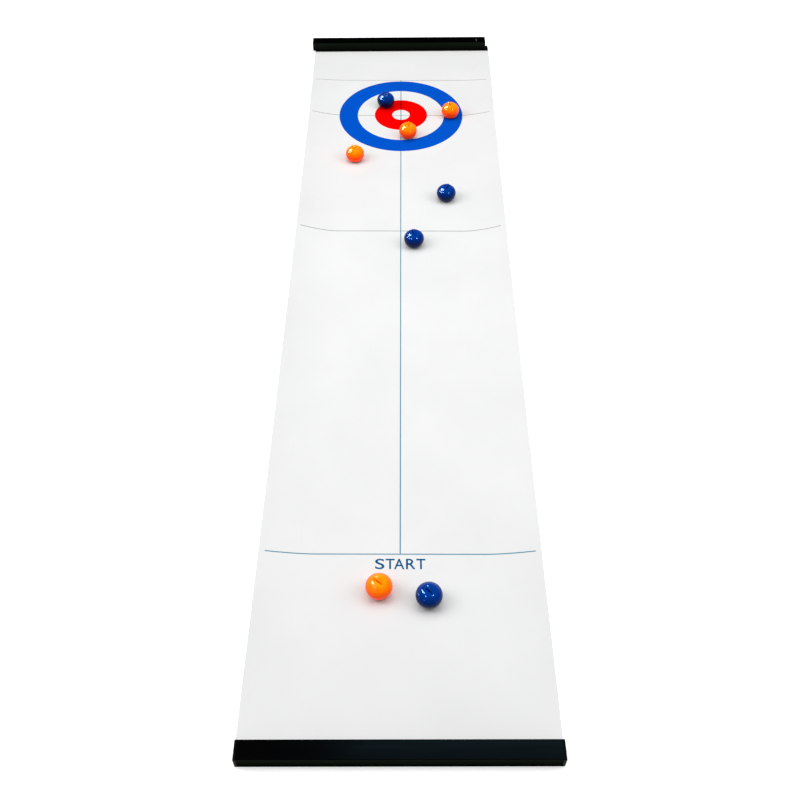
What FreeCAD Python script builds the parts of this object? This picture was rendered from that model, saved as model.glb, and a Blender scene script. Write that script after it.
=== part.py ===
"""Roll-out tabletop curling game: a flexible printed mat, a sliding rail on each end, and eight stones.

Millimetres. X runs across the mat, Y along it from the thrower's end (-Y) to the house (+Y), Z is up.
The origin is the centre of the mat's underside, on the surface that the game lies on.
"""
import FreeCAD, Part
import os
from math import sqrt

Vector = FreeCAD.Vector
X_AXIS = Vector(1, 0, 0)
Z_AXIS = Vector(0, 0, 1)

# Mat: one sheet, flat in the middle, with both long sides curling up.
MAT_WIDTH = 280.0
MAT_THICKNESS = 1.0
MAT_END = 574.9                   # half of the sheet's length
FLAT_HALF_WIDTH = 84.0            # the sheet lies flat from the middle line to here
CURL_POWER = 1.6
CURL_STATIONS = 7                 # sections across each curled side
CURL_HEIGHTS = (                  # how high the sheet's edge stands, along its length
    (-540.0, 0.0), (-480.0, 3.2), (-378.0, 8.2), (-220.0, 12.0), (-60.0, 13.2),
    (112.0, 13.0), (260.0, 12.4), (379.0, 9.6), (476.0, 2.8), (540.0, 0.0),
)
EDGE_DRAW_IN = 0.25               # the outline comes in this much for each millimetre of curl

# End rails: box extrusions, open underneath, whose outer wall reaches down to the table.
RAIL_LENGTH = 277.6
RAIL_DEPTH = 17.5
RAIL_HEIGHT = 15.5
RAIL_EDGE_RADIUS = 0.7
RAIL_WALL = 1.6
RAIL_OUTER_WALL = 1.8
RAIL_LIFT = 2.8                   # from the table to the rail's underside, above the mat and the strip
CHANNEL = (3.2, 11.8, 4.4, 7.4)   # the T-slot: from and to behind the inner face, then above the table
MOUTH = (5.7, 9.3)                # the slot's opening in the rail's underside, behind the inner face
CAP_THICKNESS = 2.2
CAP_PLUG_LENGTH = 6.0
CAP_PLUG_GAP = 0.1

# Strips: a T-shaped bar welded on each end of the sheet, which the rail slides along.
STRIP_LENGTH = 278.0
STRIP_FLANGE = (-0.6, 12.4)       # from and to behind the rail's inner face
STRIP_FLANGE_TOP = 2.5
STRIP_HEAD_LENGTH = 266.0         # the T is cut back at both ends of the strip
STRIP_CLEARANCE = 0.3             # between the T and its slot, on every side

# Each end's rail: name, side, inner face, turn about Z in degrees, and how far it is slid along its strip.
ENDS = (
    ("near", -1, 565.9, 0.32, 0.4),
    ("far", 1, 563.1, 1.1, -4.5),
)

# Stones: heights are above the sheet's top face.
STONES = (                        # colour, number, x, y, direction of the grip fin in degrees
    ("blue", 1, -24.0, 404.8, -49.0),
    ("orange", 1, 71.9, 378.3, -55.0),
    ("orange", 2, 9.2, 325.7, 81.0),
    ("orange", 3, -65.7, 268.9, -57.0),
    ("blue", 2, 60.5, 180.2, 60.0),
    ("blue", 3, 16.4, 85.2, -74.0),
    ("orange", 4, -19.8, -418.9, -37.0),
    ("blue", 4, 27.4, -428.1, -44.0),
)
LIP_RADIUS = 10.8
LIP_HEIGHT = 3.0
BELT_RADIUS = 12.95
BELT_HEIGHT = 10.0
RIM_RADIUS = 10.5
RIM_HEIGHT = 16.6
DOME_RADIUS = 9.8
DOME_FOOT = 16.25
DOME_RISE = 5.15
DOME_POWER = 2.6
DOME_STATIONS = 8
FIN_LENGTH = 10.7
FIN_THICKNESS = 2.0
FIN_CORNER = 0.4
FIN_EDGE = 0.25
SCOOP_FLOOR = 19.5                # a scoop's lowest line, at the fin's foot
SCOOP_RISE = 0.26                 # how far its floor climbs for each millimetre away from the fin
SCOOP_CORNER = 0.5

# Rolling parts inside each stone.
BALL_RADIUS = 5.5
BALL_LIFT = 0.1                   # air under the ball at rest
BALL_GAP = 0.06                   # running clearance of the ball in its seat
SOCKET_RADIUS = 7.5
SOCKET_BOTTOM = 4.6
SOCKET_TOP = 12.0
SOCKET_FOOT_RADIUS = 6.9
COLLAR_TOP = 6.0
BEAD_HEIGHTS = (9.6, 10.4)
BEAD_RADIUS = 7.85
SPIN_GAP = 0.05                   # running clearance of the shell on its socket
RETAINER_RADIUS = 9.0
RETAINER_BOTTOM = 2.4
RECESS_RADIUS = 9.3
RECESS_TOP = 4.9
BALL_CENTRE = BALL_RADIUS + BALL_LIFT
SEAT_RADIUS = BALL_RADIUS + BALL_GAP


def save(name, shape):
    """Write one piece to its own file."""
    shape.exportStep("parts/" + name + ".step")


def box_between(low, high):
    size = Vector(*high) - Vector(*low)
    return Part.makeBox(size.x, size.y, size.z, Vector(*low))


def smooth_curve(points, start_tangent=None, end_tangent=None):
    """A smooth edge through the points."""
    curve = Part.BSplineCurve()
    if start_tangent is None:
        curve.interpolate(Points=points)
    else:
        curve.interpolate(Points=points, InitialTangent=start_tangent, FinalTangent=end_tangent)
    return curve.toShape()


def line(a, b):
    return Part.LineSegment(a, b).toShape()


def revolve(edges):
    """A solid of revolution about Z from a closed outline in the XZ plane."""
    face = Part.Face(Part.Wire(edges))
    return face.revolve(Vector(0, 0, 0), Z_AXIS, 360)


def ring_outline(points):
    """Straight edges round a closed outline of (radius, height) points."""
    corners = [Vector(r, 0, z) for r, z in points]
    return [line(a, b) for a, b in zip(corners, corners[1:] + corners[:1])]


# --- the mat ---------------------------------------------------------------------------------------------

def curl_section(x):
    """The sheet's lengthwise section at one distance x from the middle line, as a closed wire."""
    share = ((x - FLAT_HALF_WIDTH) / (MAT_WIDTH / 2 - FLAT_HALF_WIDTH)) ** CURL_POWER
    low = [Vector(x, y, height * share) for y, height in CURL_HEIGHTS]
    high = [point + Z_AXIS * MAT_THICKNESS for point in low]
    along = Vector(0, 1, 0)
    bottom = smooth_curve(low, along, along)
    top = smooth_curve(high, along, along)
    return Part.Wire([bottom, line(low[-1], high[-1]), top, line(high[0], low[0])])


def curled_side():
    """The sheet's +X side, from the flat middle out to its edge."""
    reach = MAT_WIDTH / 2 - FLAT_HALF_WIDTH
    stations = [FLAT_HALF_WIDTH + reach * i / (CURL_STATIONS - 1) for i in range(CURL_STATIONS)]
    return Part.makeLoft([curl_section(x) for x in stations], True, False)


def mat_outline():
    """A tall prism with the sheet's plan outline, whose sides come in where the sheet curls most."""
    half = MAT_WIDTH / 2
    side = [Vector(half - EDGE_DRAW_IN * height, y, -1) for y, height in CURL_HEIGHTS]
    other = [Vector(-point.x, point.y, point.z) for point in reversed(side)]
    along = Vector(0, 1, 0)
    edges = []
    for points, direction in ((side, along), (other, along * -1)):
        first = Vector(points[0].x, -MAT_END * direction.y, -1)
        last = Vector(points[0].x, MAT_END * direction.y, -1)
        edges.append(line(first, points[0]))
        edges.append(smooth_curve(points, direction, direction))
        edges.append(line(points[-1], last))
        edges.append(line(last, Vector(-last.x, last.y, -1)))
    return Part.Face(Part.Wire(edges)).extrude(Z_AXIS * 3 * RAIL_HEIGHT)


def mat():
    curl_end = CURL_HEIGHTS[-1][0]
    side = MAT_WIDTH / 2
    middle = box_between((-FLAT_HALF_WIDTH, -MAT_END, 0), (FLAT_HALF_WIDTH, MAT_END, MAT_THICKNESS))
    far = box_between((-side, curl_end, 0), (side, MAT_END, MAT_THICKNESS))
    near = far.mirror(Vector(0, 0, 0), Vector(0, 1, 0))
    right = curled_side()
    left = right.mirror(Vector(0, 0, 0), X_AXIS)
    sheet = middle.fuse([right, left, far, near]).removeSplitter()
    return sheet.common(mat_outline())


# --- the rails, their caps and the strips, drawn along X with the rail's inner face at y = 0 -------------

def rail_outline(x, length):
    """The rail's outside over one length: two rounded upper edges, and its outer wall down to the table."""
    block = Part.makeBox(length, RAIL_DEPTH, RAIL_HEIGHT, Vector(x, 0, 0))
    upper = [
        edge for edge in block.Edges
        if abs(edge.tangentAt(edge.FirstParameter).x) > 0.9 and edge.CenterOfMass.z > RAIL_HEIGHT / 2
    ]
    underneath = box_between((x - 1, -1, -1), (x + length + 1, RAIL_DEPTH - RAIL_OUTER_WALL, RAIL_LIFT))
    return block.makeFillet(RAIL_EDGE_RADIUS, upper).cut(underneath)


def slot_space(x, length):
    """The T-slot's whole space: the channel and its mouth in the rail's underside."""
    inner, outer, bottom, top = CHANNEL
    channel = box_between((x, inner, bottom), (x + length, outer, top))
    mouth = box_between((x, MOUTH[0], RAIL_LIFT - 1), (x + length, MOUTH[1], bottom))
    return channel.fuse(mouth)


def hollows(x, length, gap=0.0):
    """The rail's two closed hollows, above the T-slot and outside it, shrunk by the gap."""
    outer = RAIL_DEPTH - RAIL_OUTER_WALL
    slot_end, slot_bottom, slot_top = CHANNEL[1:]
    upper = box_between(
        (x, RAIL_WALL + gap, slot_top + RAIL_WALL + gap),
        (x + length, outer - gap, RAIL_HEIGHT - RAIL_WALL - gap),
    )
    lower = box_between(
        (x, slot_end + RAIL_WALL + gap, slot_bottom + gap),
        (x + length, outer - gap, slot_top - gap),
    )
    return [upper, lower]


def rail():
    length = RAIL_LENGTH - 2 * CAP_THICKNESS
    start = -length / 2
    body = rail_outline(start, length)
    return body.cut([slot_space(start, length)] + hollows(start, length))


def cap():
    """The +X end cap: a plate with the T-slot open through it, and two plugs in the rail's hollows."""
    start = RAIL_LENGTH / 2 - CAP_THICKNESS
    plate = rail_outline(start, CAP_THICKNESS)
    plugs = hollows(start - CAP_PLUG_LENGTH, CAP_PLUG_LENGTH, CAP_PLUG_GAP)
    return plate.fuse(plugs).cut(slot_space(start, CAP_THICKNESS))


def strip():
    """The bar on the sheet's end: a flat flange on the sheet, and the T that the rail's slot runs on."""
    inner, outer, bottom, top = CHANNEL
    half = STRIP_LENGTH / 2
    head_half = STRIP_HEAD_LENGTH / 2
    gap = STRIP_CLEARANCE
    flange = box_between((-half, STRIP_FLANGE[0], MAT_THICKNESS), (half, STRIP_FLANGE[1], STRIP_FLANGE_TOP))
    web = box_between(
        (-head_half, MOUTH[0] + gap, STRIP_FLANGE_TOP),
        (head_half, MOUTH[1] - gap, bottom + gap),
    )
    head = box_between((-head_half, inner + gap, bottom + gap), (head_half, outer - gap, top - gap))
    return flange.fuse([web, head]).removeSplitter()


def save_end(name, side, inner_face, turn, slide):
    """Save one end's strip, rail and caps, turned to face the mat and stood on it."""
    facing = turn if side > 0 else turn + 180
    right_cap, left_cap = cap(), cap().mirror(Vector(0, 0, 0), X_AXIS)
    if side < 0:
        right_cap, left_cap = left_cap, right_cap
    along = FreeCAD.Rotation(Z_AXIS, turn).multVec(X_AXIS)
    pieces = (("rail", rail(), slide), ("cap_right", right_cap, slide), ("cap_left", left_cap, slide),
              ("strip", strip(), 0.0))
    for piece_name, piece, shift in pieces:
        piece.rotate(Vector(0, 0, 0), Z_AXIS, facing)
        piece.translate(Vector(0, side * inner_face, 0) + along * shift)
        save(name + "_" + piece_name, piece)


# --- the stones, drawn at the origin with the fin along X -------------------------------------------------

def dome_point(radius):
    return Vector(radius, 0, DOME_FOOT + DOME_RISE * (1 - (radius / DOME_RADIUS) ** DOME_POWER))


def shell_body():
    """The shell's outside and its bore, before the fin and the finger scoops."""
    bore = SOCKET_RADIUS + SPIN_GAP
    groove = BEAD_RADIUS + SPIN_GAP
    ceiling = SOCKET_TOP + 2 * SPIN_GAP
    low_bead, high_bead = BEAD_HEIGHTS[0] - SPIN_GAP, BEAD_HEIGHTS[1] + SPIN_GAP
    lip_inner = Vector(RECESS_RADIUS, 0, LIP_HEIGHT)
    lip_foot = Vector(LIP_RADIUS - 0.5, 0, LIP_HEIGHT)
    lip = Vector(LIP_RADIUS, 0, LIP_HEIGHT + 0.4)
    belt = Vector(BELT_RADIUS, 0, BELT_HEIGHT)
    flank = Vector(LIP_RADIUS + 0.62 * (BELT_RADIUS - LIP_RADIUS), 0, 0.5 * (LIP_HEIGHT + BELT_HEIGHT))
    shoulder = [
        belt,
        Vector(BELT_RADIUS - 0.15, 0, BELT_HEIGHT + 2.4),
        Vector(BELT_RADIUS - 0.7, 0, BELT_HEIGHT + 4.9),
        Vector(RIM_RADIUS, 0, RIM_HEIGHT),
    ]
    dome = [dome_point(DOME_RADIUS * (1 - (i / DOME_STATIONS) ** 1.5)) for i in range(DOME_STATIONS + 1)]
    inside = [
        (0, ceiling), (bore, ceiling), (bore, high_bead), (groove, high_bead), (groove, low_bead),
        (bore, low_bead), (bore, RECESS_TOP), (RECESS_RADIUS, RECESS_TOP), (RECESS_RADIUS, LIP_HEIGHT),
    ]
    corners = [Vector(r, 0, z) for r, z in inside]
    edges = [line(a, b) for a, b in zip(corners, corners[1:])]
    edges += [line(lip_inner, lip_foot), line(lip_foot, lip), Part.Arc(lip, flank, belt).toShape()]
    edges += [smooth_curve(shoulder), line(shoulder[-1], dome[0]), smooth_curve(dome)]
    edges.append(line(dome[-1], corners[0]))
    return revolve(edges)


def finger_scoop(side):
    """The space of one finger scoop: a shallow wedge beside the fin, with rounded ends."""
    near_wall = side * FIN_THICKNESS / 2
    outside = side * DOME_RADIUS
    climb = SCOOP_RISE * (DOME_RADIUS - FIN_THICKNESS / 2)
    start = -FIN_LENGTH / 2 + FIN_CORNER
    above = DOME_FOOT + 2 * DOME_RISE
    section = Part.makePolygon([
        Vector(start, near_wall, SCOOP_FLOOR),
        Vector(start, outside, SCOOP_FLOOR + climb),
        Vector(start, outside, above),
        Vector(start, near_wall, above),
        Vector(start, near_wall, SCOOP_FLOOR),
    ])
    wedge = Part.Face(section).extrude(X_AXIS * (-2 * start))
    ends_at_floor = [
        edge for edge in wedge.Edges
        if abs(edge.tangentAt(edge.FirstParameter).x) < 0.1 and edge.CenterOfMass.z < SCOOP_FLOOR + climb
    ]
    return wedge.makeFillet(SCOOP_CORNER, ends_at_floor)


def fin():
    """The level-topped grip fin, from inside the dome up."""
    foot = DOME_FOOT + DOME_RISE / 2
    top = DOME_FOOT + DOME_RISE
    blade = box_between(
        (-FIN_LENGTH / 2, -FIN_THICKNESS / 2, foot), (FIN_LENGTH / 2, FIN_THICKNESS / 2, top)
    )
    upright = [edge for edge in blade.Edges if abs(edge.tangentAt(edge.FirstParameter).z) > 0.9]
    blade = blade.makeFillet(FIN_CORNER, upright)
    return blade.makeFillet(FIN_EDGE, [edge for edge in blade.Edges if edge.CenterOfMass.z > top - 0.01])


def shell():
    scooped = shell_body().cut([finger_scoop(1), finger_scoop(-1)])
    return scooped.fuse(fin())


def seat():
    return Part.makeSphere(SEAT_RADIUS, Vector(0, 0, BALL_CENTRE))


def socket():
    """The bearing cup over the ball, which the shell turns on."""
    low_bead, high_bead = BEAD_HEIGHTS
    cup = revolve(ring_outline((
        (0, SOCKET_BOTTOM), (SOCKET_FOOT_RADIUS, SOCKET_BOTTOM), (SOCKET_FOOT_RADIUS, COLLAR_TOP),
        (SOCKET_RADIUS, COLLAR_TOP), (SOCKET_RADIUS, low_bead), (BEAD_RADIUS, low_bead),
        (BEAD_RADIUS, high_bead), (SOCKET_RADIUS, high_bead), (SOCKET_RADIUS, SOCKET_TOP), (0, SOCKET_TOP),
    )))
    return cup.cut(seat())


def retainer():
    """The ring that holds the ball in from below, with a collar round the socket's foot."""
    mouth = sqrt(SEAT_RADIUS ** 2 - (BALL_CENTRE - RETAINER_BOTTOM) ** 2)
    ring = revolve(ring_outline((
        (mouth - 1, RETAINER_BOTTOM), (RETAINER_RADIUS, RETAINER_BOTTOM), (RETAINER_RADIUS, SOCKET_BOTTOM),
        (SOCKET_RADIUS, SOCKET_BOTTOM), (SOCKET_RADIUS, COLLAR_TOP), (SOCKET_FOOT_RADIUS, COLLAR_TOP),
        (SOCKET_FOOT_RADIUS, SOCKET_BOTTOM), (mouth - 1, SOCKET_BOTTOM),
    )))
    return ring.cut(seat())


def save_stone(colour, number, x, y, fin_angle):
    pieces = {
        "shell": shell(),
        "socket": socket(),
        "retainer": retainer(),
        "ball": Part.makeSphere(BALL_RADIUS, Vector(0, 0, BALL_CENTRE)),
    }
    for piece_name, piece in pieces.items():
        piece.rotate(Vector(0, 0, 0), Z_AXIS, fin_angle)
        piece.translate(Vector(x, y, MAT_THICKNESS))
        save("{}_{}_{}".format(colour, number, piece_name), piece)


os.makedirs("parts", exist_ok=True)
save("mat", mat())
for end in ENDS:
    save_end(*end)
for stone in STONES:
    save_stone(*stone)
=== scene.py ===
"""Roll-out tabletop curling game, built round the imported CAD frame.

Metres. X runs across the mat, Y along it from the thrower's end to the house, Z is up.
"""
import bpy
import bmesh
from math import atan2, copysign, cos, hypot, pi, radians, sin, sqrt
from mathutils import Matrix, Vector


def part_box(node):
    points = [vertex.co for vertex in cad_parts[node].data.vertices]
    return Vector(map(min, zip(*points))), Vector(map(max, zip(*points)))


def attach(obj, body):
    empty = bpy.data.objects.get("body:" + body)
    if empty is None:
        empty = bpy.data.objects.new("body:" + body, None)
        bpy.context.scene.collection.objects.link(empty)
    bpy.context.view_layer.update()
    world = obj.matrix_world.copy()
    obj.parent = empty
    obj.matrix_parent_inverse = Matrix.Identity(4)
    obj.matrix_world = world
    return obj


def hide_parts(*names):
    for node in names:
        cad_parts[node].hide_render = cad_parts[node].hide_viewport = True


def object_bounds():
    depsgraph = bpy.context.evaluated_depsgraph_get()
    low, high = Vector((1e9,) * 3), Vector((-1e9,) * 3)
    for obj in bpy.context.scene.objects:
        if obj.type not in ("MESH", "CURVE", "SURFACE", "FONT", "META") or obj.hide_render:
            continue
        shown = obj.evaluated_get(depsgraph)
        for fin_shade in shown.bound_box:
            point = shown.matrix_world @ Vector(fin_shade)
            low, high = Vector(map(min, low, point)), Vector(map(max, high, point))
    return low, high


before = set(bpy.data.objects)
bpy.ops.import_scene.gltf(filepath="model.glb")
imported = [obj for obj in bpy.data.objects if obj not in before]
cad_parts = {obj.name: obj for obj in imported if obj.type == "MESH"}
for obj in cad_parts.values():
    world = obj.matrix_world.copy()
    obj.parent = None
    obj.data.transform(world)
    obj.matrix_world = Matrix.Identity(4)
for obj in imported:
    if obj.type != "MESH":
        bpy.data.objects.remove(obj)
cad_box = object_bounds()
scene = bpy.context.scene

# Sheet: flat in the middle, with both long sides curling up.
SHEET_THICKNESS = 0.001
FLAT_HALF_WIDTH = 0.084
CURL_POWER = 1.6
CURL_HEIGHTS = (                  # how high the sheet's edge stands, along its length
    (-0.540, 0.0), (-0.480, 0.0032), (-0.378, 0.0082), (-0.220, 0.0120), (-0.060, 0.0132),
    (0.112, 0.0130), (0.260, 0.0124), (0.379, 0.0096), (0.476, 0.0028), (0.540, 0.0),
)
EDGE_DRAW_IN = 0.25               # the sheet's edge comes in this much for each metre of curl
RIPPLE_HEIGHT = 0.00022           # slow waves left in the curled sides by rolling
RIPPLE_LENGTH = 0.093
RIPPLE_FADE = 0.006               # where the edge stands lower than this, the waves die away
SLOW_WAVE = (0.6, 1.7)            # height and length of a second wave, as shares of the first
SHEET_CREASES = (                 # start, end and width of each small fold
    ((0.1233, 0.5348), (0.0982, 0.4692), 0.0035),
)
SHEET_COLUMNS = 112
SHEET_ROWS = 320

# Print on the sheet.
INK_HEIGHT = 0.00005              # the ink's top above the sheet, which the balls still clear
INK_DEPTH = 0.00008               # how far the ink's body reaches into the sheet
PRINT_OFFSET = -0.0005            # the print stands a little off the sheet's middle line, and turned on it
PRINT_TURN = 0.00174
HOUSE_CENTRE = 0.3809
RING_BANDS = (("blue", 0.0643, 0.0917), ("red", 0.013, 0.039))
BACK_LINE = 0.4757
TEE_LINE = 0.3794
HOG_LINE = 0.1119
START_LINE = -0.3773              # the start line's far edge, where the centre line begins
START_MIDDLE = START_LINE - 0.0006
CENTRE_HALF_WIDTH = 0.0006
TEE_WIDTH = 0.0008
BACK_WIDTH = 0.00065
HOG_WIDTH = 0.00085
START_WIDTH = 0.00115
LINE_MARGIN = 0.006               # between a line's end and the sheet's edge
WORD_MIDDLE = -0.3889
WORD_HEIGHT = 0.0116
WORD_LETTERS = (                  # each letter, with where it starts and ends across the sheet
    ("S", -0.0244, -0.0153), ("T", -0.0142, -0.0054), ("A", -0.0060, 0.0041), ("R", 0.0056, 0.0149),
    ("T", 0.0157, 0.0246),
)
LETTER_WEIGHT = 0.010             # thickening of the letters' outlines, at a text size of 1
RING_COLUMNS, RING_ROWS = 240, 10
BAR_STEP_ACROSS, BAR_STEP_ALONG = 0.003, 0.006

# A small notch across the far rail's top, painted as a grey glint: start, end and width.
FAR_RAIL_NICK_GLINT = ((0.1202, 0.5776), (0.1197, 0.5673), 0.0022)

# Stones: heights are above the sheet's top face.
FIN_ANGLES = {
    "blue_1": -49.0, "orange_1": -55.0, "orange_2": 81.0, "orange_3": -57.0,
    "blue_2": 60.0, "blue_3": -74.0, "orange_4": -37.0, "blue_4": -44.0,
}
DOME_RADIUS = 0.0101
DOME_FOOT = 0.01675
DOME_RISE = 0.00465
DOME_POWER = 2.4
FIN_LENGTH = 0.0107
FIN_THICKNESS = 0.0020
FIN_CORNER = 0.0004               # rounding of the fin's upright corners
FIN_EDGE = 0.00028                # rounding of the fin's top edges
FIN_STEEPNESS = 7.0               # how far the fin's faces fall for each metre outwards
SCOOP_FLOOR = 0.0192              # a scoop's lowest line, at the fin's foot
SCOOP_SLOPE = 0.42                # how steeply a scoop's floor climbs away from the fin
SCOOP_END_SLOPE = 3.2             # how steeply a scoop's ends rise
SCOOP_INSET = 0.0003              # how far inside the fin's ends a scoop's ends begin to rise
SCOOP_BLEND = 0.0018              # how softly a scoop's floor turns into the dome
FOOT_BLEND = 0.0004               # the hollow round the fin's foot
BELT_RADIUS = 0.01295
BELT_HEIGHT = 0.0100
SHOULDER_ROUND = 0.0100           # radius of the arc that rises from the belt
SHOULDER_TURN = radians(37)       # how far round it goes
SHOULDER_STEPS = 8
FLANK_DEPTH = 0.0066              # from the belt down to the lip
FLANK_DRAW_IN = 0.00195           # how much narrower the shell is down there
FLANK_POWER = 1.75
FLANK_STEPS = 7
LIP_HEIGHT = 0.0030
RECESS_RADIUS = 0.0093            # the space for the retainer ring
RECESS_TOP = 0.0049
BORE_RADIUS = 0.00755             # the bore that turns on the bearing socket, with a groove for its bead
BORE_TOP = 0.0121
GROOVE_RADIUS = 0.0079
GROOVE_HEIGHTS = (0.00955, 0.01045)
SHELL_COLUMNS = 120
SHELL_SMOOTH_ANGLE = 60

# Painted shade in the corners beside the fin: distance from its middle line, half length and width.
FIN_SHADE_MARK = (0.00135, 0.0058, 0.0019)

# Camera: lens and sensor in millimetres, and degrees down, to the right and round.
CAMERA_LENS = 42.891
CAMERA_SENSOR = 36.0
CAMERA_PLACE = (0.00021, -0.868455, 0.808904)
CAMERA_PITCH, CAMERA_YAW, CAMERA_ROLL = 49.5454, -0.0766, 0.1479

FLOOR_HALF_SIZE = 6.0
FLOOR_GAP = 0.00005               # between the floor and the object's underside


# --- meshes ----------------------------------------------------------------------------------------------

def add_piece(name, mesh, finish, body, smooth_angle=35.0):
    """Put a mesh in the scene with its finish, and make it ride on a CAD body."""
    piece = bpy.data.objects.new(name, mesh)
    scene.collection.objects.link(piece)
    mesh.materials.clear()
    mesh.materials.append(finish)
    mesh.polygons.foreach_set("use_smooth", [True] * len(mesh.polygons))
    mesh.set_sharp_from_angle(angle=radians(smooth_angle))
    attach(piece, body)
    return piece


def mesh_from(name, points, faces):
    mesh = bpy.data.meshes.new(name)
    mesh.from_pydata(points, [], faces)
    mesh.validate()
    mesh.update()
    return mesh


def grid_faces(columns, rows, first=0, closed=False):
    """Quads between (columns + 1) x (rows + 1) points stored row by row, or columns x rows when closed."""
    width = columns if closed else columns + 1
    faces = []
    for row in range(rows):
        for column in range(columns):
            right = (column + 1) % width
            a = first + row * width
            faces.append((a + column, a + right, a + width + right, a + width + column))
    return faces


# --- the sheet -------------------------------------------------------------------------------------------

def slope_at(index):
    """The slope of the sheet's edge at one of its known heights."""
    if index in (0, len(CURL_HEIGHTS) - 1):
        return 0.0
    (y0, h0), (y1, h1) = CURL_HEIGHTS[index - 1], CURL_HEIGHTS[index + 1]
    return (h1 - h0) / (y1 - y0)


def edge_height(y):
    """How high the sheet's edge stands at one place along it: a smooth curve through the known heights."""
    for index in range(len(CURL_HEIGHTS) - 1):
        (y0, h0), (y1, h1) = CURL_HEIGHTS[index], CURL_HEIGHTS[index + 1]
        if y0 <= y <= y1:
            span = y1 - y0
            t = (y - y0) / span
            ease = t * t * (3 - 2 * t)
            return (
                h0 + (h1 - h0) * ease
                + span * slope_at(index) * t * (1 - t) ** 2
                - span * slope_at(index + 1) * t * t * (1 - t)
            )
    return 0.0


def sheet_top(x, y):
    """Height of the sheet's top face."""
    height = edge_height(y)
    curl = max(abs(x) - FLAT_HALF_WIDTH, 0.0) / (SHEET_HALF_WIDTH - FLAT_HALF_WIDTH)
    side = copysign(1.0, x)
    ripple = RIPPLE_HEIGHT * curl * curl * min(height / RIPPLE_FADE, 1.0)
    slow_height, slow_length = SLOW_WAVE
    waves = sin(2 * pi * y / RIPPLE_LENGTH + side)
    waves += slow_height * sin(2 * pi * y / (slow_length * RIPPLE_LENGTH) + 2 * side)
    return SHEET_THICKNESS + height * curl ** CURL_POWER + ripple * waves


def build_sheet(finish):
    points = []
    for lift in (0.0, -SHEET_THICKNESS):
        for row in range(SHEET_ROWS + 1):
            y = SHEET_HALF_LENGTH * (2 * row / SHEET_ROWS - 1)
            half = SHEET_HALF_WIDTH - EDGE_DRAW_IN * edge_height(y)
            for column in range(SHEET_COLUMNS + 1):
                x = half * (2 * column / SHEET_COLUMNS - 1)
                points.append((x, y, sheet_top(x, y) + lift))
    layer = (SHEET_COLUMNS + 1) * (SHEET_ROWS + 1)
    top = grid_faces(SHEET_COLUMNS, SHEET_ROWS)
    under = [tuple(reversed([index + layer for index in face])) for face in top]
    rim = list(range(SHEET_COLUMNS + 1))
    rim += [row * (SHEET_COLUMNS + 1) + SHEET_COLUMNS for row in range(1, SHEET_ROWS + 1)]
    rim += [SHEET_ROWS * (SHEET_COLUMNS + 1) + column for column in reversed(range(SHEET_COLUMNS))]
    rim += [row * (SHEET_COLUMNS + 1) for row in reversed(range(1, SHEET_ROWS))]
    sides = [(b, a, a + layer, b + layer) for a, b in zip(rim, rim[1:] + rim[:1])]
    mesh = mesh_from("printed_sheet", points, top + under + sides)
    return add_piece("printed_sheet", mesh, finish, "mat")


# --- the print -------------------------------------------------------------------------------------------

def on_print(x, y):
    """Where a point of the print lies on the sheet."""
    return x + PRINT_OFFSET - PRINT_TURN * y, y + PRINT_TURN * x


def ink_patch(name, outline_at, columns, rows, finish, closed=False):
    """A thin closed slab of ink on the sheet; outline_at gives (x, y) from two shares, 0 to 1."""
    width = columns if closed else columns + 1
    points = []
    for lift in (INK_HEIGHT, -INK_DEPTH):
        for row in range(rows + 1):
            for column in range(width):
                x, y = on_print(*outline_at(column / columns, row / rows))
                points.append((x, y, sheet_top(x, y) + lift))
    layer = width * (rows + 1)
    top = grid_faces(columns, rows, closed=closed)
    under = [tuple(reversed([index + layer for index in face])) for face in top]
    first, last = list(range(width)), list(range(rows * width, layer))
    if closed:
        loops = [first + first[:1], (last + last[:1])[::-1]]
    else:
        right = [row * width + width - 1 for row in range(rows + 1)]
        left = [row * width for row in range(rows + 1)]
        loops = [first + right[1:] + last[::-1][1:] + left[::-1][1:]]
    sides = [(b, a, a + layer, b + layer) for loop in loops for a, b in zip(loop, loop[1:])]
    mesh = mesh_from(name, points, top + under + sides)
    bm = bmesh.new()
    bm.from_mesh(mesh)
    bmesh.ops.recalc_face_normals(bm, faces=bm.faces)
    bm.to_mesh(mesh)
    bm.free()
    return add_piece(name, mesh, finish, "mat")


def ink_ring(name, inner, outer, finish):
    def place(turn, share):
        radius = inner + (outer - inner) * share
        return radius * cos(2 * pi * turn), HOUSE_CENTRE + radius * sin(2 * pi * turn)
    return ink_patch(name, place, RING_COLUMNS, RING_ROWS, finish, closed=True)


def ink_bar(name, low, high, finish):
    """A straight line of ink between two corners."""
    def place(across, along):
        return low[0] + (high[0] - low[0]) * across, low[1] + (high[1] - low[1]) * along
    columns = max(1, round((high[0] - low[0]) / BAR_STEP_ACROSS))
    rows = max(1, round((high[1] - low[1]) / BAR_STEP_ALONG))
    return ink_patch(name, place, columns, rows, finish)


def cross_line(name, y, width, finish, gaps=()):
    """A line across the sheet, with stretches left out where other print covers it."""
    reach = SHEET_HALF_WIDTH - EDGE_DRAW_IN * edge_height(y) - LINE_MARGIN
    stops = [-reach] + sorted(gaps) + [reach]
    pieces = []
    for number, (start, end) in enumerate(zip(stops[::2], stops[1::2]), 1):
        label = name if len(stops) == 2 else "{}_{}".format(name, number)
        pieces.append(ink_bar(label, (start, y - width / 2), (end, y + width / 2), finish))
    return pieces


def chord(radius, offset):
    return sqrt(radius * radius - offset * offset)


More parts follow.
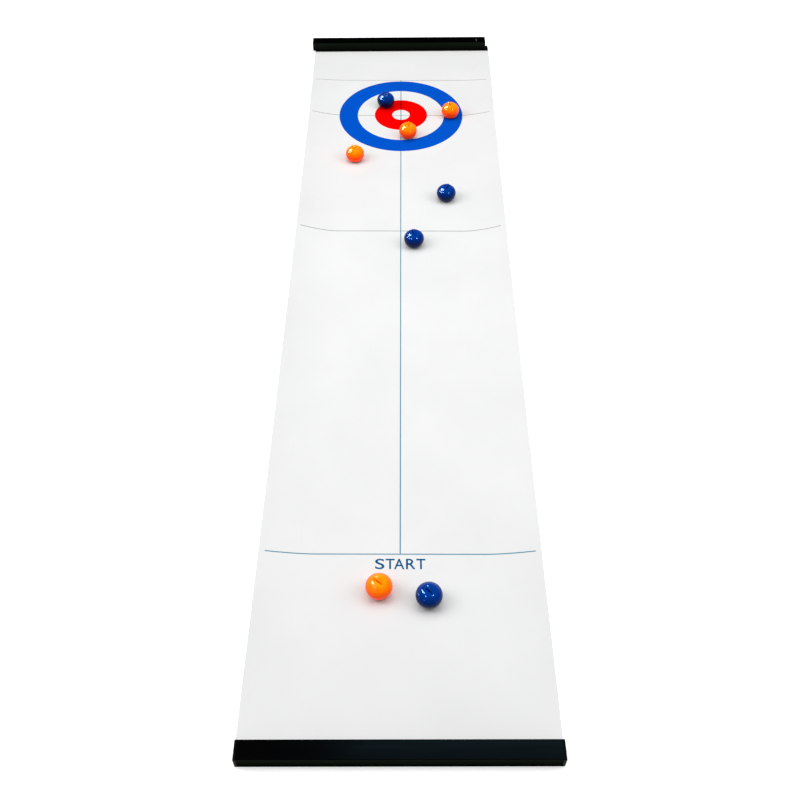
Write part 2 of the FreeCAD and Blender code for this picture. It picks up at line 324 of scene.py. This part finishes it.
def build_lines(line_ink, pale_ink, shaded_red):
    """The centre, back, tee, hog and start lines, with the stretches that show over the rings."""
    half = CENTRE_HALF_WIDTH
    blue, red = (band[1:] for band in RING_BANDS)
    stretches = (
        ("lane", START_LINE, HOUSE_CENTRE - blue[1], line_ink),
        ("near_white", HOUSE_CENTRE - blue[0], HOUSE_CENTRE - red[1], line_ink),
        ("button", HOUSE_CENTRE - red[0], HOUSE_CENTRE + red[0], line_ink),
        ("far_white", HOUSE_CENTRE + red[1], HOUSE_CENTRE + blue[0], line_ink),
        ("end", HOUSE_CENTRE + blue[1], BACK_LINE, line_ink),
        ("near_red", HOUSE_CENTRE - red[1], HOUSE_CENTRE - red[0], shaded_red),
        ("far_red", HOUSE_CENTRE + red[0], HOUSE_CENTRE + red[1], shaded_red),
    )
    pieces = [
        ink_bar("centre_line_" + place, (-half, low), (half, high), ink)
        for place, low, high, ink in stretches
    ]
    offset = TEE_LINE - HOUSE_CENTRE
    reaches = [chord(radius, offset) for radius in (blue[1], blue[0], red[1], red[0])]
    gaps = [-reach for reach in reaches] + [-half, half] + reaches
    pieces += cross_line("tee_line", TEE_LINE, TEE_WIDTH, pale_ink, gaps)
    pieces += cross_line("back_line", BACK_LINE, BACK_WIDTH, pale_ink)
    pieces += cross_line("hog_line", HOG_LINE, HOG_WIDTH, pale_ink, (-half, half))
    pieces += cross_line("start_line", START_MIDDLE, START_WIDTH, line_ink)
    return pieces


def letter_mesh(letter, start, end):
    """One plain capital as a thin slab of ink on the sheet, drawn to fit its place in the word."""
    text = bpy.data.curves.new("letter", "FONT")
    text.body = letter
    text.offset = LETTER_WEIGHT
    text.resolution_u = 8
    holder = bpy.data.objects.new("letter", text)
    scene.collection.objects.link(holder)
    bpy.context.view_layer.update()
    mesh = bpy.data.meshes.new_from_object(holder)
    bpy.data.objects.remove(holder)
    bm = bmesh.new()
    bm.from_mesh(mesh)
    bmesh.ops.remove_doubles(bm, verts=bm.verts, dist=1e-5)
    low = [min(vertex.co[axis] for vertex in bm.verts) for axis in (0, 1)]
    high = [max(vertex.co[axis] for vertex in bm.verts) for axis in (0, 1)]
    for vertex in bm.verts:
        x = start + (vertex.co.x - low[0]) / (high[0] - low[0]) * (end - start)
        y = WORD_MIDDLE + ((vertex.co.y - low[1]) / (high[1] - low[1]) - 0.5) * WORD_HEIGHT
        x, y = on_print(x, y)
        vertex.co = (x, y, sheet_top(x, y) - INK_DEPTH)
    raised = bmesh.ops.extrude_face_region(bm, geom=list(bm.faces))["geom"]
    top = [item for item in raised if isinstance(item, bmesh.types.BMVert)]
    bmesh.ops.translate(bm, verts=top, vec=(0, 0, INK_DEPTH + INK_HEIGHT))
    bmesh.ops.recalc_face_normals(bm, faces=bm.faces)
    bm.to_mesh(mesh)
    bm.free()
    return mesh


def build_word(finish):
    """The word START, one piece for each letter."""
    pieces = []
    for number, (letter, start, end) in enumerate(WORD_LETTERS, 1):
        name = "start_letter_{}_{}".format(number, letter.lower())
        mesh = letter_mesh(letter, start, end)
        mesh.name = name
        pieces.append(add_piece(name, mesh, finish, "mat"))
    return pieces


# --- the stones ------------------------------------------------------------------------------------------

def soft_min(a, b, blend):
    overlap = max(blend - abs(a - b), 0.0) / blend
    return min(a, b) - overlap * overlap * blend / 4


def soft_max(a, b, blend):
    return -soft_min(-a, -b, blend)


def fin_height(x, y):
    """Height of the fin: a level top with rounded edges and steep faces."""
    past_end = abs(x) - (FIN_LENGTH / 2 - FIN_CORNER)
    past_side = abs(y) - (FIN_THICKNESS / 2 - FIN_CORNER)
    outside = hypot(max(past_end, 0.0), max(past_side, 0.0)) - FIN_CORNER
    outside += min(max(past_end, past_side), 0.0)
    rounding = min(max(outside + FIN_EDGE, 0.0), FIN_EDGE)
    drop = FIN_EDGE - sqrt(FIN_EDGE ** 2 - rounding ** 2)
    return DOME_FOOT + DOME_RISE - drop - FIN_STEEPNESS * max(outside, 0.0)


def crown_height(x, y):
    """Height of a shell's top: a dome with a level fin along X and a shallow scoop on each side of it."""
    radius = hypot(x, y)
    dome = DOME_FOOT + DOME_RISE * (1 - min(radius / DOME_RADIUS, 1.0) ** DOME_POWER)
    floor = SCOOP_FLOOR + SCOOP_SLOPE * max(abs(y) - FIN_THICKNESS / 2, 0.0)
    end_wall = floor + SCOOP_END_SLOPE * max(abs(x) - FIN_LENGTH / 2 + SCOOP_INSET, 0.0)
    scooped = soft_min(dome, soft_max(floor, end_wall, FOOT_BLEND), SCOOP_BLEND)
    return soft_max(scooped, fin_height(x, y), FOOT_BLEND)


def cross_stations():
    """Lines across the crown from its middle outwards: close together on the fin's steep faces."""
    fin_top = [0.0, 0.00045, 0.0007]
    fin_foot = 0.0012
    step, growth, longest_step = 0.00006, 1.09, 0.0006
    stations = fin_top
    while stations[-1] < DOME_RADIUS:
        stations.append(stations[-1] + step)
        step = min(step * growth, longest_step)
    shrink = DOME_RADIUS / stations[-1]
    return [station if station < fin_foot else station * shrink for station in stations]


def crown_place(s, t):
    """Plan place of a crown point: lines run straight beside the fin and close up at the dome's rim."""
    straight, fin_end = 0.0013, 0.0064
    held = copysign(min(abs(s), fin_end), s)
    chord_there = sqrt(DOME_RADIUS ** 2 - held ** 2)
    y = abs(t)
    if y > straight:
        y = straight + (y - straight) * (chord_there - straight) / (DOME_RADIUS - straight)
    if abs(s) > fin_end:
        y *= sqrt(max(DOME_RADIUS ** 2 - s * s, 0.0)) / chord_there
    return s, copysign(y, t)


def shell_rings():
    """The shell's section outside the dome and under it, as (radius, height) from the dome's foot inwards."""
    rim = [(0.01018, 0.01668), (0.01026, 0.01659), (0.01038, 0.01652), (0.01054, 0.01644), (0.01072, 0.01628)]
    turns = [SHOULDER_TURN * step / SHOULDER_STEPS for step in range(SHOULDER_STEPS, -1, -1)]
    shoulder = [
        (BELT_RADIUS - SHOULDER_ROUND * (1 - cos(turn)), BELT_HEIGHT + SHOULDER_ROUND * sin(turn))
        for turn in turns
    ]
    shares = [step / FLANK_STEPS for step in range(1, FLANK_STEPS + 1)]
    flank = [
        (BELT_RADIUS - FLANK_DRAW_IN * share ** FLANK_POWER, BELT_HEIGHT - FLANK_DEPTH * share)
        for share in shares
    ]
    lip = [(0.01083, 0.00316), (0.01060, 0.00304), (0.01040, LIP_HEIGHT)]
    groove_foot, groove_top = GROOVE_HEIGHTS
    under = [
        (RECESS_RADIUS, LIP_HEIGHT), (RECESS_RADIUS, RECESS_TOP), (BORE_RADIUS, RECESS_TOP),
        (BORE_RADIUS, groove_foot), (GROOVE_RADIUS, groove_foot), (GROOVE_RADIUS, groove_top),
        (BORE_RADIUS, groove_top), (BORE_RADIUS, BORE_TOP),
    ]
    return rim + shoulder + flank + lip + under


def build_shell_mesh():
    """One shell, with its axis at the origin, its foot at the sheet's top and its fin along X."""
    half = cross_stations()
    lines = [-station for station in reversed(half[1:])] + half
    points = []
    for t in lines:
        for column in range(SHELL_COLUMNS + 1):
            s = DOME_RADIUS * sin(pi * (column / SHELL_COLUMNS - 0.5))
            x, y = crown_place(s, t)
            points.append((x, y, crown_height(x, y)))
    faces = grid_faces(SHELL_COLUMNS, len(lines) - 1)
    width = SHELL_COLUMNS + 1
    last_row = (len(lines) - 1) * width
    loop = list(range(width)) + [last_row + column for column in reversed(range(1, SHELL_COLUMNS))]
    around = len(loop)
    angles = [2 * pi * index / around - pi for index in range(around)]
    for radius, height in shell_rings():
        ring = [len(points) + index for index in range(around)]
        points += [(radius * cos(angle), radius * sin(angle), height) for angle in angles]
        pairs = zip(loop, loop[1:] + loop[:1], ring[1:] + ring[:1], ring)
        faces += [(b, a, d, c) for a, b, c, d in pairs]
        loop = ring
    faces.append(tuple(loop))
    mesh = mesh_from("shell", points, faces)
    bm = bmesh.new()
    bm.from_mesh(mesh)
    bmesh.ops.remove_doubles(bm, verts=bm.verts, dist=1e-7)
    bmesh.ops.dissolve_degenerate(bm, edges=bm.edges, dist=1e-7)
    bmesh.ops.recalc_face_normals(bm, faces=bm.faces)
    bm.to_mesh(mesh)
    bm.free()
    return mesh


def build_shells(finishes):
    pieces = []
    meshes = {colour: build_shell_mesh() for colour in finishes}
    for stone, angle in FIN_ANGLES.items():
        colour = stone.split("_")[0]
        low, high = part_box(stone + "_ball")
        piece = bpy.data.objects.new(stone + "_cover", meshes[colour])
        scene.collection.objects.link(piece)
        piece.location = ((low.x + high.x) / 2, (low.y + high.y) / 2, SHEET_THICKNESS)
        piece.rotation_euler = (0, 0, radians(angle))
        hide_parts(stone + "_shell")
        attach(piece, stone + "_stone")
        pieces.append(piece)
    for colour, mesh in meshes.items():
        mesh.materials.append(finishes[colour])
        mesh.polygons.foreach_set("use_smooth", [True] * len(mesh.polygons))
        mesh.set_sharp_from_angle(angle=radians(SHELL_SMOOTH_ANGLE))
    return pieces


# --- finishes --------------------------------------------------------------------------------------------

class Finish:
    """A procedural material on one shader, with short calls for the patterns that its sockets take."""

    def __init__(self, name, **sockets):
        self.material = bpy.data.materials.new(name)
        self.material.use_nodes = True
        self.tree = self.material.node_tree
        self.shader = self.tree.nodes["Principled BSDF"]
        self.space = self.add("ShaderNodeTexCoord").outputs["Object"]
        for socket, value in sockets.items():
            self.shader.inputs[socket.replace("_", " ")].default_value = value

    def add(self, kind, **settings):
        node = self.tree.nodes.new(kind)
        for key, value in settings.items():
            setattr(node, key, value)
        return node

    def link(self, output, target):
        self.tree.links.new(output, target)

    def noise(self, scale, detail=3.0, stretch=(1.0, 1.0, 1.0), roughness=0.5):
        """A cloudy pattern, with scale in repeats per metre."""
        mapping = self.add("ShaderNodeMapping")
        mapping.inputs["Scale"].default_value = stretch
        self.link(self.space, mapping.inputs["Vector"])
        pattern = self.add("ShaderNodeTexNoise")
        pattern.inputs["Scale"].default_value = scale
        pattern.inputs["Detail"].default_value = detail
        pattern.inputs["Roughness"].default_value = roughness
        self.link(mapping.outputs["Vector"], pattern.inputs["Vector"])
        return pattern.outputs["Fac"]

    def cells(self, scale):
        """Distance to the nearest point of a scattered set, for grain and pits."""
        pattern = self.add("ShaderNodeTexVoronoi")
        pattern.inputs["Scale"].default_value = scale
        self.link(self.space, pattern.inputs["Vector"])
        return pattern.outputs["Distance"]

    def along(self, axis, start, end):
        """0 to 1 between two heights or places along one of the piece's own axes."""
        parts = self.add("ShaderNodeSeparateXYZ")
        self.link(self.space, parts.inputs[0])
        return self.spread(parts.outputs[axis], 0.0, 1.0, start, end)

    def crease(self, start, end, width):
        """1 along a straight mark from start to end on the piece, fading to 0 at its sides and ends."""
        run, climb = end[0] - start[0], end[1] - start[1]
        mapping = self.add("ShaderNodeMapping", vector_type="TEXTURE")
        mapping.inputs["Location"].default_value = ((start[0] + end[0]) / 2, (start[1] + end[1]) / 2, 0)
        mapping.inputs["Rotation"].default_value = (0, 0, atan2(climb, run))
        mapping.inputs["Scale"].default_value = (hypot(run, climb) / 2, width / 2, 1000)
        self.link(self.space, mapping.inputs["Vector"])
        length = self.add("ShaderNodeVectorMath", operation="LENGTH")
        self.link(mapping.outputs["Vector"], length.inputs[0])
        return self.spread(length.outputs["Value"], 1.0, 0.0, 0.0, 1.0)

    def upward(self):
        """1 on faces that look up and 0 on upright ones."""
        parts = self.add("ShaderNodeSeparateXYZ")
        self.link(self.add("ShaderNodeNewGeometry").outputs["Normal"], parts.inputs[0])
        return self.spread(parts.outputs["Z"], 0.0, 1.0, 0.2, 0.9)

    def spread(self, pattern, low, high, start=0.3, end=0.7):
        """The pattern's values from start to end, turned into values from low to high."""
        node = self.add("ShaderNodeMapRange")
        self.link(pattern, node.inputs["Value"])
        for socket, value in (("From Min", start), ("From Max", end), ("To Min", low), ("To Max", high)):
            node.inputs[socket].default_value = value
        return node.outputs["Result"]

    def blend(self, share, first, second):
        """A colour between two colours, each a constant or another pattern's colour."""
        node = self.add("ShaderNodeMix", data_type="RGBA")
        self.link(share, node.inputs[0])
        for socket, colour in ((node.inputs[6], first), (node.inputs[7], second)):
            if isinstance(colour, tuple):
                socket.default_value = (*colour, 1.0)
            else:
                self.link(colour, socket)
        return node.outputs[2]

    def colour(self, value):
        self.link(value, self.shader.inputs["Base Color"])

    def roughness(self, value):
        self.link(value, self.shader.inputs["Roughness"])

    def sheen(self, value):
        self.link(value, self.shader.inputs["Specular IOR Level"])

    def relief(self, *layers):
        """Bump from (pattern, height in metres, strength) layers, one on another."""
        normal = None
        for pattern, height, strength in layers:
            node = self.add("ShaderNodeBump")
            node.inputs["Distance"].default_value = height
            node.inputs["Strength"].default_value = strength
            self.link(pattern, node.inputs["Height"])
            if normal is not None:
                self.link(normal, node.inputs["Normal"])
            normal = node.outputs["Normal"]
        self.link(normal, self.shader.inputs["Normal"])


def vinyl(name, dark, light, scuff, sheen=0.03, creases=()):
    """The sheet's smooth vinyl, or ink on it: fine grain, soft cloudiness, sliding scuffs and any creases."""
    finish = Finish(name, Specular_IOR_Level=sheen)
    cloud = finish.spread(finish.noise(9.0, 4.0), 0.0, 1.0)
    scuffs = finish.spread(finish.noise(55.0, 5.0, (6.0, 0.5, 1.0), 0.7), 0.0, 0.35, 0.62, 0.78)
    finish.colour(finish.blend(scuffs, finish.blend(cloud, dark, light), scuff))
    finish.roughness(finish.spread(finish.noise(140.0, 3.0, (2.0, 0.6, 1.0)), 0.36, 0.47))
    folds = [(finish.crease(start, end, width), 0.0006, 0.5) for start, end, width in creases]
    finish.relief((finish.noise(2600.0, 2.0), 0.00002, 0.25), (finish.noise(24.0, 2.0), 0.0003, 0.06), *folds)
    return finish.material


def moulded_gloss(name, foot, crown, fin_shade, worn, tint, sheen, painted_glow):
    """A stone's polished moulded plastic: painted shade darkens it towards its foot and in the corners beside
    the fin, the orange shell glows with painted light, and it has flow marks and handling scratches.
    """
    # Painted light: the shell glows in its foot colour, though it is no lamp.
    finish = Finish(name, Specular_IOR_Level=sheen, Specular_Tint=(*tint, 1.0), Emission_Strength=painted_glow)
    finish.shader.inputs["Emission Color"].default_value = (*foot, 1.0)
    # Painted shade: the colour goes from the lit crown colour at the top to the shaded foot colour low on the
    # shell.
    painted_shade = finish.blend(finish.along("Z", 0.010, 0.0216), foot, crown)
    offset, reach, width = FIN_SHADE_MARK
    # Painted shade in the corners beside the fin's foot, on both sides.
    for side in (-offset, offset):
        painted_shade = finish.blend(finish.crease((-reach, side), (reach, side), width), painted_shade, fin_shade)
    flow = finish.spread(finish.noise(160.0, 4.0, (1.0, 1.0, 2.5)), 0.0, 0.2)
    rub = finish.spread(finish.noise(900.0, 5.0, (4.0, 0.4, 1.0), 0.75), 0.0, 0.5, 0.66, 0.84)
    finish.colour(finish.blend(rub, finish.blend(flow, painted_shade, foot), worn))
    finish.roughness(finish.spread(finish.noise(420.0, 4.0), 0.05, 0.09))
    finish.relief((finish.noise(90.0, 1.0), 0.00002, 0.05), (finish.noise(1500.0, 2.0), 0.000001, 0.1))
    return finish.material


def gloss_black(name, shine, nick_glint=None):
    """A rail's polished black extrusion: fine lines along it, a few soft smears, painted light and shade by
    face and height, and perhaps a notch painted as a grey glint.
    """
    finish = Finish(name)
    smear = finish.spread(finish.noise(30.0, 5.0, (0.35, 2.0, 2.0)), 0.0, 1.0)
    # Painted light and shade: the top is painted near black and the upright faces lighter, fading to painted
    # shade towards the bottom.
    top = finish.blend(smear, (0.0001, 0.0001, 0.0001), (0.0003, 0.0004, 0.0005))
    lit_front = finish.blend(smear, (0.0070, 0.0105, 0.0066), (0.0090, 0.0130, 0.0084))
    side = finish.blend(finish.along("Z", 0.0, 0.0145), (0.0008, 0.0012, 0.0008), lit_front)
    body = finish.blend(finish.upward(), side, top)
    # Painted glint: a grey mark at the notch across the far rail's top.
    finish.colour(body if nick_glint is None else finish.blend(finish.crease(*nick_glint), body, (0.12, 0.12, 0.12)))
    finish.sheen(finish.spread(finish.upward(), 0.0, shine, 0.0, 1.0))
    drawn = finish.noise(700.0, 4.0, (0.015, 1.0, 1.0))
    finish.roughness(finish.spread(finish.noise(60.0, 5.0, (0.25, 2.0, 2.0)), 0.08, 0.2))
    finish.relief((drawn, 0.00002, 0.12), (finish.noise(26.0, 2.0), 0.0002, 0.04))
    return finish.material


def grained_plastic(name, dark, light, grain, low, high, sheen):
    """Moulded plastic with a fine spark-eroded grain."""
    finish = Finish(name, Specular_IOR_Level=sheen)
    cloud = finish.spread(finish.noise(220.0, 4.0), 0.0, 1.0)
    finish.colour(finish.blend(cloud, dark, light))
    finish.roughness(finish.spread(finish.noise(500.0, 3.0), low, high))
    finish.relief((finish.cells(grain), 0.00002, 0.3), (finish.noise(90.0, 2.0), 0.0001, 0.1))
    return finish.material


def steel():
    """A polished bearing ball with fine running scratches."""
    finish = Finish("bearing_steel", Metallic=1.0)
    tone = finish.spread(finish.noise(300.0, 4.0), 0.0, 1.0)
    finish.colour(finish.blend(tone, (0.50, 0.50, 0.51), (0.66, 0.66, 0.67)))
    scratch = finish.noise(1500.0, 5.0, (0.1, 3.0, 3.0), 0.7)
    finish.roughness(finish.spread(scratch, 0.08, 0.2))
    finish.relief((scratch, 0.000004, 0.2),)
    return finish.material


# --- stage, camera and lights ----------------------------------------------------------------------------

def build_floor():
    reach = FLOOR_HALF_SIZE
    corners = [(-reach, -reach, 0), (reach, -reach, 0), (reach, reach, 0), (-reach, reach, 0)]
    mesh = mesh_from("floor", corners, [(0, 1, 2, 3)])
    floor = bpy.data.objects.new("floor", mesh)
    floor.location.z = cad_box[0].z - FLOOR_GAP
    scene.collection.objects.link(floor)
    finish = Finish("studio_floor", Roughness=0.9, Specular_IOR_Level=0.0, Emission_Strength=0.5)
    finish.shader.inputs["Emission Color"].default_value = (1.0, 1.0, 1.0, 1.0)
    finish.colour(finish.blend(finish.noise(3.0), (0.93, 0.93, 0.93), (0.96, 0.96, 0.96)))
    mesh.materials.append(finish.material)


def build_camera():
    data = bpy.data.cameras.new("camera")
    data.lens = CAMERA_LENS
    data.sensor_width = CAMERA_SENSOR
    data.clip_start = 0.01
    camera = bpy.data.objects.new("camera", data)
    scene.collection.objects.link(camera)
    pitch, yaw, roll = radians(CAMERA_PITCH), radians(CAMERA_YAW), radians(CAMERA_ROLL)
    right = Vector((cos(yaw), -sin(yaw), 0))
    ahead = Vector((sin(yaw) * cos(pitch), cos(yaw) * cos(pitch), -sin(pitch)))
    up = right.cross(ahead)
    level = Matrix((right, up, -ahead)).transposed()
    camera.matrix_world = (
        Matrix.Translation(CAMERA_PLACE) @ level.to_4x4() @ Matrix.Rotation(roll, 4, "Z")
    )
    scene.camera = camera


def area_light(name, size, power, tone=(1.0, 1.0, 1.0), gloss_on=None):
    """A light facing down. It shades everything with no gloss, or only glosses the pieces in gloss_on."""
    data = bpy.data.lights.new(name, "AREA")
    data.shape = "RECTANGLE"
    data.size, data.size_y = size
    data.energy = power
    data.color = tone
    light = bpy.data.objects.new(name, data)
    scene.collection.objects.link(light)
    light.visible_diffuse = gloss_on is None
    light.visible_glossy = gloss_on is not None
    if gloss_on is not None:
        receivers = bpy.data.collections.new(name + "_receivers")
        for piece in gloss_on:
            receivers.objects.link(piece)
        light.light_linking.receiver_collection = receivers
    return light


def softbox(name, azimuth, elevation, distance, size, power, gloss_on=None):
    """A light aimed at the middle of the mat. Azimuth 0 is beyond the house and 90 is to the right."""
    turn, rise = radians(azimuth), radians(elevation)
    away = Vector((sin(turn) * cos(rise), cos(turn) * cos(rise), sin(rise)))
    light = area_light(name, size, power, gloss_on=gloss_on)
    light.location = away * distance
    light.rotation_mode = "QUATERNION"
    light.rotation_quaternion = (-away).to_track_quat("-Z", "Y")


def build_lights(stones, rails):
    softbox("key_left", azimuth=-97, elevation=44, distance=1.9, size=(1.2, 1.2), power=16.2)
    softbox("overhead", azimuth=10, elevation=80, distance=1.95, size=(1.8, 1.8), power=23)
    softbox("fill_right", azimuth=97, elevation=44, distance=2.0, size=(1.2, 1.2), power=13.2)
    for name, azimuth, elevation, size, power in (
        ("card_left", -71, 47, (3.2, 3.7), 3000),
        ("spot_front_left", -135, 44, (0.8, 0.8), 260),
        ("spot_front_right", 133, 45, (0.8, 0.8), 200),
    ):
        softbox(name, azimuth, elevation, 6.0, size, power, gloss_on=stones)
    card = area_light("card_above", size=(0.96, 0.64), power=4.9, tone=(0.35, 0.78, 1.0), gloss_on=rails)
    card.location = (0.30, 0.48, 2.05)


def build_world():
    """White where the camera sees it, and a dim cool fill for everything else."""
    world = bpy.data.worlds.new("studio")
    scene.world = world
    world.use_nodes = True
    nodes, links = world.node_tree.nodes, world.node_tree.links
    seen = nodes["Background"]
    seen.inputs["Color"].default_value = (1.0, 1.0, 1.0, 1.0)
    seen.inputs["Strength"].default_value = 1.0
    around = nodes.new("ShaderNodeBackground")
    around.inputs["Color"].default_value = (0.96, 0.98, 1.0, 1.0)
    around.inputs["Strength"].default_value = 0.19
    path = nodes.new("ShaderNodeLightPath")
    chosen = nodes.new("ShaderNodeMixShader")
    links.new(path.outputs["Is Camera Ray"], chosen.inputs["Fac"])
    links.new(around.outputs["Background"], chosen.inputs[1])
    links.new(seen.outputs["Background"], chosen.inputs[2])
    links.new(chosen.outputs["Shader"], nodes["World Output"].inputs["Surface"])
    scene.view_settings.view_transform = "Standard"
    scene.view_settings.look = "None"


# --- the whole object ------------------------------------------------------------------------------------

SHEET_HALF_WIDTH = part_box("mat")[1].x
SHEET_HALF_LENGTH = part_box("mat")[1].y

white_vinyl = vinyl(
    "white_vinyl", dark=(0.80, 0.805, 0.80), light=(0.84, 0.845, 0.84), scuff=(0.72, 0.73, 0.73),
    sheen=0.08, creases=SHEET_CREASES,
)
blue_ink = vinyl("blue_ink", (0.0, 0.082, 0.55), (0.0, 0.092, 0.60), (0.02, 0.13, 0.64), 0.01)
red_ink = vinyl("red_ink", (0.86, 0.0, 0.0), (0.94, 0.0, 0.0), (0.94, 0.03, 0.02), 0.01)
shaded_red_ink = vinyl("shaded_red_ink", (0.66, 0.0, 0.0), (0.70, 0.0, 0.0), (0.72, 0.04, 0.03))
line_ink = vinyl("line_ink", (0.085, 0.26, 0.37), (0.105, 0.29, 0.40), (0.18, 0.36, 0.46))
pale_ink = vinyl("pale_ink", (0.20, 0.22, 0.24), (0.23, 0.25, 0.27), (0.32, 0.34, 0.36))
word_ink = vinyl("word_ink", (0.0, 0.092, 0.240), (0.0, 0.102, 0.260), (0.02, 0.15, 0.31), 0.01)
# For each stone the foot and crown colours are the shaded and lit ends of painted shade, the darker colour
# beside the fin is painted shade, and the orange shell glows with painted light.
orange_gloss = moulded_gloss(
    "orange_gloss", foot=(1.0, 0.050, 0.0), crown=(1.0, 0.400, 0.0), fin_shade=(0.50, 0.01, 0.0),
    worn=(1.0, 0.43, 0.02), tint=(1.0, 0.70, 0.35), sheen=0.2, painted_glow=0.30,
)
blue_gloss = moulded_gloss(
    "blue_gloss", foot=(0.0, 0.002, 0.055), crown=(0.0, 0.058, 0.41), fin_shade=(0.0, 0.0, 0.01),
    worn=(0.01, 0.08, 0.45), tint=(0.25, 0.50, 1.0), sheen=0.2, painted_glow=0.0,
)
cap_finish = grained_plastic(
    "cap_plastic", dark=(0.0020, 0.0026, 0.0020), light=(0.0070, 0.0080, 0.0065), grain=5200.0,
    low=0.16, high=0.28, sheen=0.01,
)
strip_finish = grained_plastic(
    "strip_plastic", dark=(0.003, 0.002, 0.002), light=(0.006, 0.005, 0.005), grain=4200.0,
    low=0.3, high=0.45, sheen=0.03,
)
bearing_finish = grained_plastic(
    "bearing_nylon", dark=(0.030, 0.030, 0.032), light=(0.045, 0.045, 0.048), grain=3600.0,
    low=0.35, high=0.5, sheen=0.4,
)
cad_finishes = {
    "near_rail": gloss_black("black_extrusion", 0.07),
    "far_rail": gloss_black("black_extrusion_nick_glint", 0.004, FAR_RAIL_NICK_GLINT),
    "_cap_left": cap_finish,
    "_cap_right": cap_finish,
    "_strip": strip_finish,
    "_socket": bearing_finish,
    "_retainer": bearing_finish,
    "_ball": steel(),
}

sheet = build_sheet(white_vinyl)
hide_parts("mat")
print_pieces = [
    ink_ring("ring_{}".format(colour), inner, outer, blue_ink if colour == "blue" else red_ink)
    for colour, inner, outer in RING_BANDS
]
print_pieces += build_lines(line_ink, pale_ink, shaded_red_ink)
print_pieces += build_word(word_ink)
stones = build_shells({"orange": orange_gloss, "blue": blue_gloss})

for node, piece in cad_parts.items():
    for ending, finish in cad_finishes.items():
        if node.endswith(ending):
            piece.material_slots[0].material = finish

build_floor()
build_camera()
build_lights(stones, [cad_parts["near_rail"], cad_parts["far_rail"]])
build_world()
